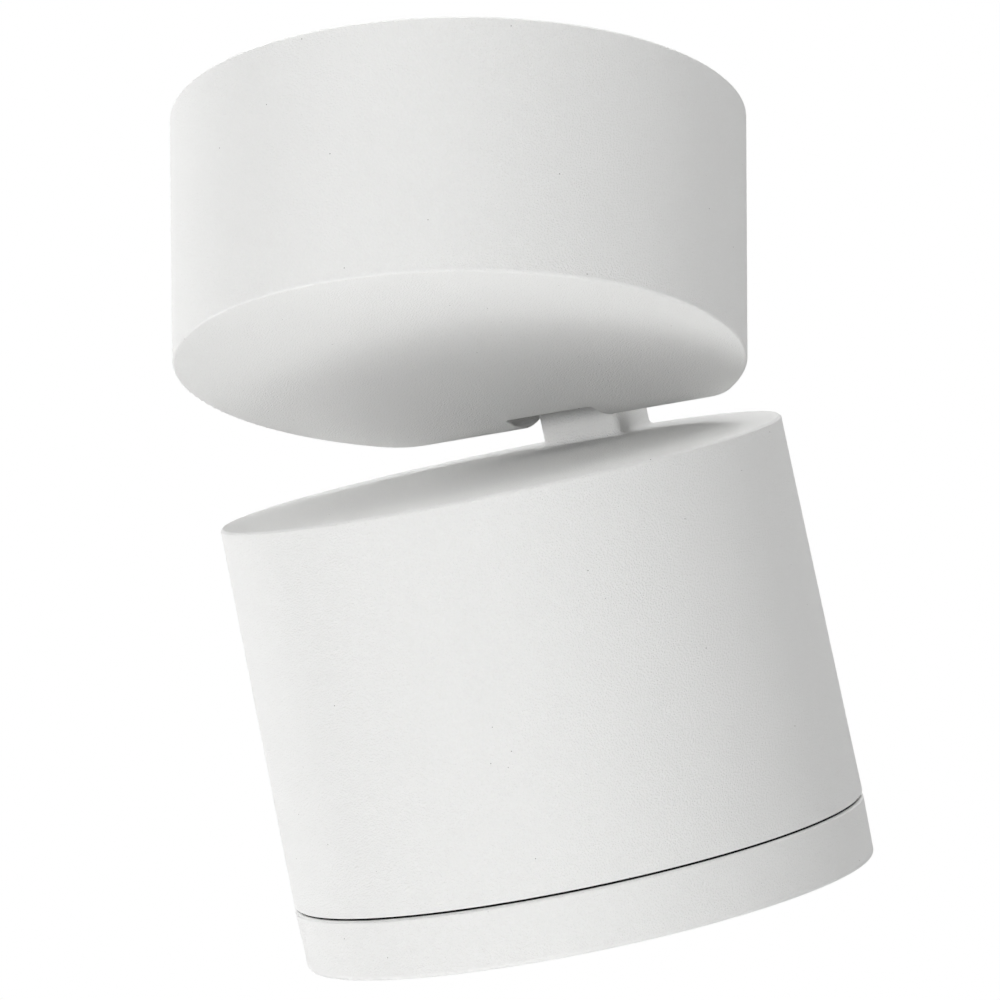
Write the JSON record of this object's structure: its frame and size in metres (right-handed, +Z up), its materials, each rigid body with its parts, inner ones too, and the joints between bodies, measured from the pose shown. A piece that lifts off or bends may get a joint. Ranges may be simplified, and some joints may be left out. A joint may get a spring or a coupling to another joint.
{
  "type": "surface mounted ceiling spotlight",
  "caption": "White surface mounted ceiling spotlight: a cylindrical canopy that turns, joined by a square neck at its edge to a cylindrical light head that tilts, with a narrow front ring.",
  "frame": {"origin": "on the canopy's axis in the ceiling plane, midway between the two ceiling screws", "axes": "+Z up into the ceiling, X along the tilt hinge, +Y the way the head's light leans"},
  "size_m": [0.1006, 0.1417, 0.1517],
  "materials": {
    "white_powder_coat": "matte",
    "zinc_plated_steel": "satin",
    "turned_steel": "satin",
    "black_steel": "satin",
    "cast_aluminium": "satin",
    "polished_aluminium": "polished",
    "white_nylon": "satin",
    "grey_case_plastic": "matte",
    "matt_black_plastic": "matte",
    "black_rubber": "matte",
    "thermal_silicone": "matte",
    "green_circuit_board": "satin",
    "alumina_board": "matte",
    "led_phosphor": "matte",
    "ferrite_and_tape": "matte",
    "capacitor_sleeve": "gloss",
    "nickel_brass": "satin",
    "brown_wire": "satin",
    "green_yellow_wire": "satin",
    "white_lead": "satin",
    "clear_glass": "gloss"
  },
  "bodies": {
    "ceiling_mount": {"ceiling_plate": "zinc_plated_steel", "pan_stem": "turned_steel", "cable_grommet": "black_rubber", "pan_spring": "zinc_plated_steel", "pan_nut": "turned_steel", "fixed_stop_pin": "zinc_plated_steel"},
    "canopy": {"turning_stop_pin": "zinc_plated_steel", "thrust_washers": "white_nylon", "turntable": "zinc_plated_steel", "grub_screws": "black_steel", "canopy_housing": "white_powder_coat", "hinge_bracket": "cast_aluminium", "bracket_screws": "zinc_plated_steel", "pivot_bolt": "turned_steel", "pivot_nut": "turned_steel", "disc_springs": "zinc_plated_steel", "friction_washers": "white_nylon", "driver_case": "grey_case_plastic", "driver_cover": "grey_case_plastic", "driver_board": "green_circuit_board", "driver_transformer": "ferrite_and_tape", "driver_capacitors": "capacitor_sleeve", "driver_screws": "zinc_plated_steel", "terminal_block": "white_nylon", "terminal_screws": "nickel_brass", "terminal_fixing_screws": "zinc_plated_steel", "jumper_wires": "brown_wire", "earth_wire": "green_yellow_wire", "earth_screw": "nickel_brass", "cord_clamp": "white_nylon", "clamp_screws": "zinc_plated_steel", "canopy_lead": "white_lead"},
    "head": {"hinge_arm": "white_powder_coat", "arm_screws": "zinc_plated_steel", "head_lead": "white_lead", "head_body": "white_powder_coat", "heat_sink": "cast_aluminium", "heat_sink_screws": "zinc_plated_steel", "thermal_pad": "thermal_silicone", "led_board": "alumina_board", "led_emitter": "led_phosphor", "led_holder": "white_nylon", "holder_screws": "zinc_plated_steel", "reflector": "polished_aluminium"},
    "lens_ring": {"front_ring": "white_powder_coat", "front_seal": "black_rubber", "glass_gasket": "black_rubber", "front_glass": "clear_glass", "snap_ring": "zinc_plated_steel", "anti_glare_baffle": "matt_black_plastic"}
  },
  "joints": [
    {"name": "pan", "type": "hinge", "parent": "ceiling_mount", "child": "canopy", "pos_m": [0, 0, 0], "axis": [0, 0, 1], "range_deg": [-168, 168]},
    {"name": "tilt", "type": "hinge", "parent": "canopy", "child": "head", "pos_m": [0, 0.0406, -0.0196], "axis": [1, 0, 0], "range_deg": [-24.1, 65.9]},
    {"name": "ring_twist", "type": "hinge", "parent": "head", "child": "lens_ring", "pos_m": [0, 0.02004, -0.07306], "axis": [0, 0.4083, -0.9128], "range_deg": [0, 40]}
  ]
}
